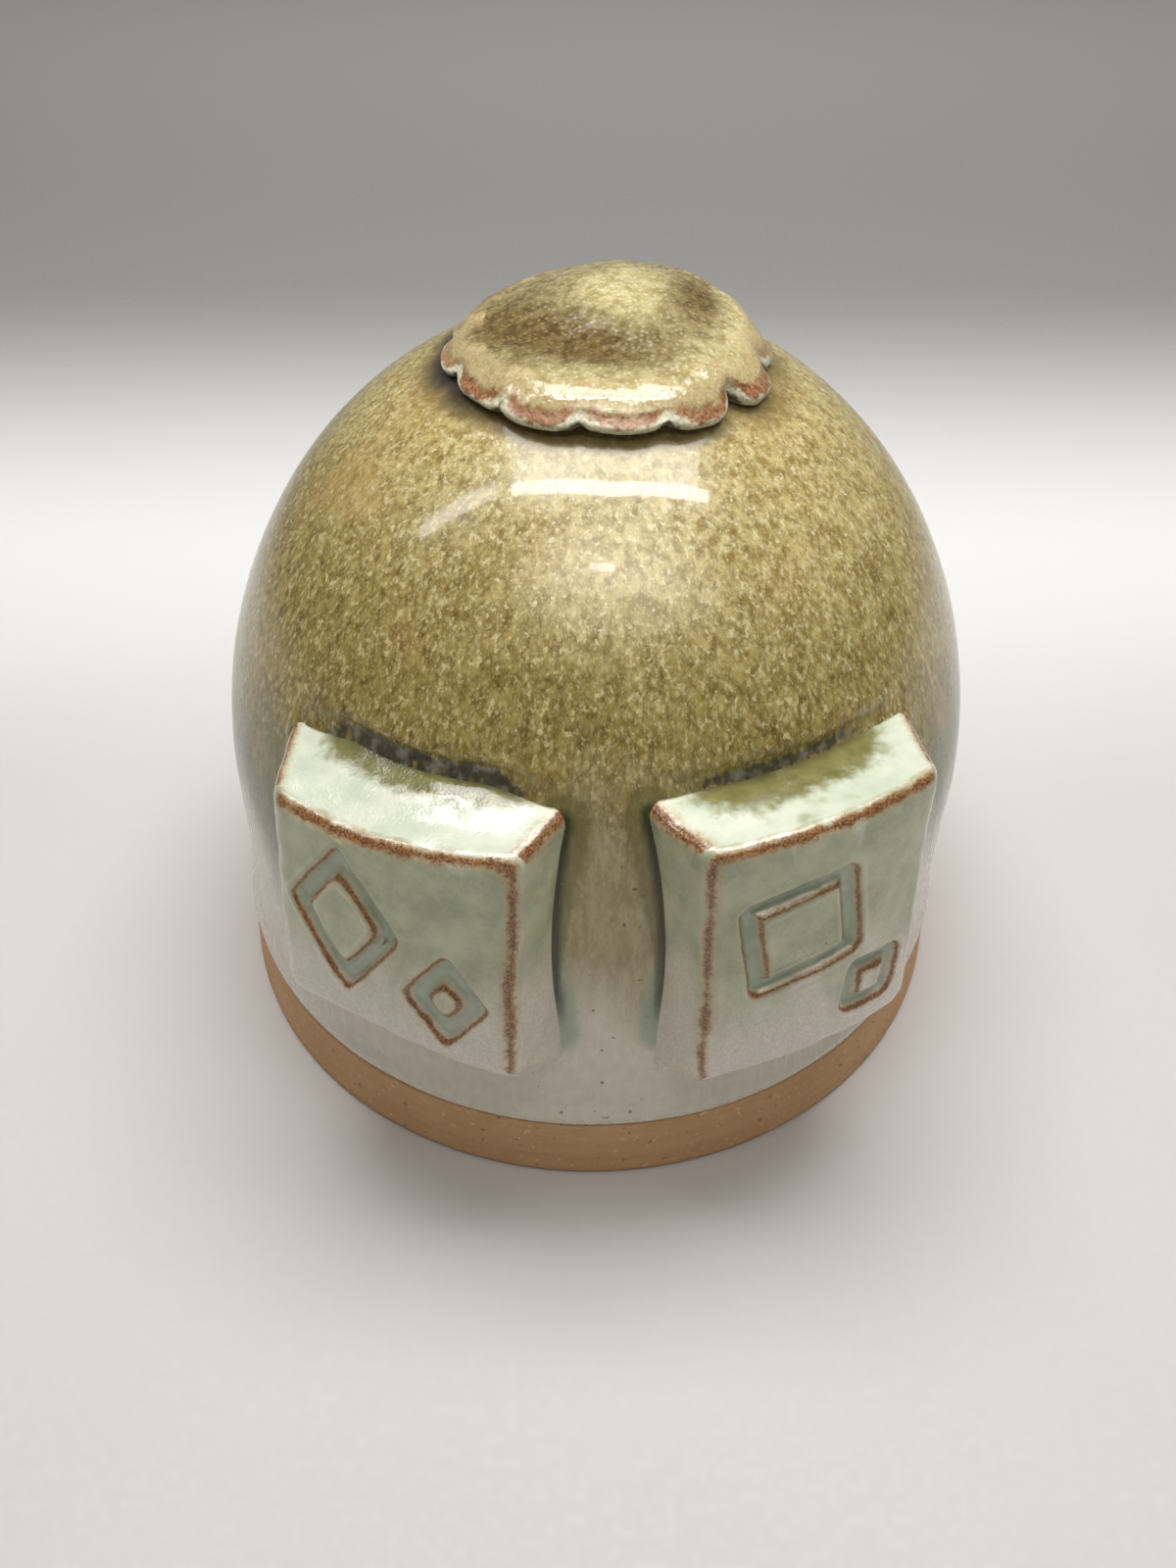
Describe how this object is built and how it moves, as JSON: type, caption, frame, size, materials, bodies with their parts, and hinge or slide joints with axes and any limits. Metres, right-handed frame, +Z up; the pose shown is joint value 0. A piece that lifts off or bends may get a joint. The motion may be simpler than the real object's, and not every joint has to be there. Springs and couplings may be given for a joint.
{
  "type": "salt shaker",
  "caption": "Handmade stoneware salt shaker: closed glazed dome with a scalloped cap, raised front tiles, a bare clay foot and an inner funnel that salt goes in and out by.",
  "frame": {"origin": "centre of the foot on the surface that the shaker stands on", "axes": "+Z up, through the crown; the two front tiles face -Y; +X is to the right of someone who faces the tiles"},
  "size_m": [0.0838, 0.0884, 0.0795],
  "materials": {
    "bare_clay": "matte unglazed stoneware with pale grog",
    "inner_clay": "matte unglazed stoneware",
    "luting_slip": "fired slip under glaze",
    "olive_glaze": "glossy speckled glaze that runs to celadon and white",
    "cap_glaze": "glossy speckled glaze, breaking to rust on the rim",
    "celadon_glaze": "glossy celadon glaze, breaking to rust on the edges"
  },
  "bodies": {
    "root": {"foot_base": "bare_clay", "seam_slip": "luting_slip", "pour_funnel": "inner_clay", "funnel_slip": "luting_slip", "dome_shell": "olive_glaze", "cap_slip": "luting_slip", "top_cap": "cap_glaze", "left_tile_slip": "luting_slip", "left_tile": "celadon_glaze", "right_tile_slip": "luting_slip", "right_tile": "celadon_glaze"}
  },
  "joints": []
}
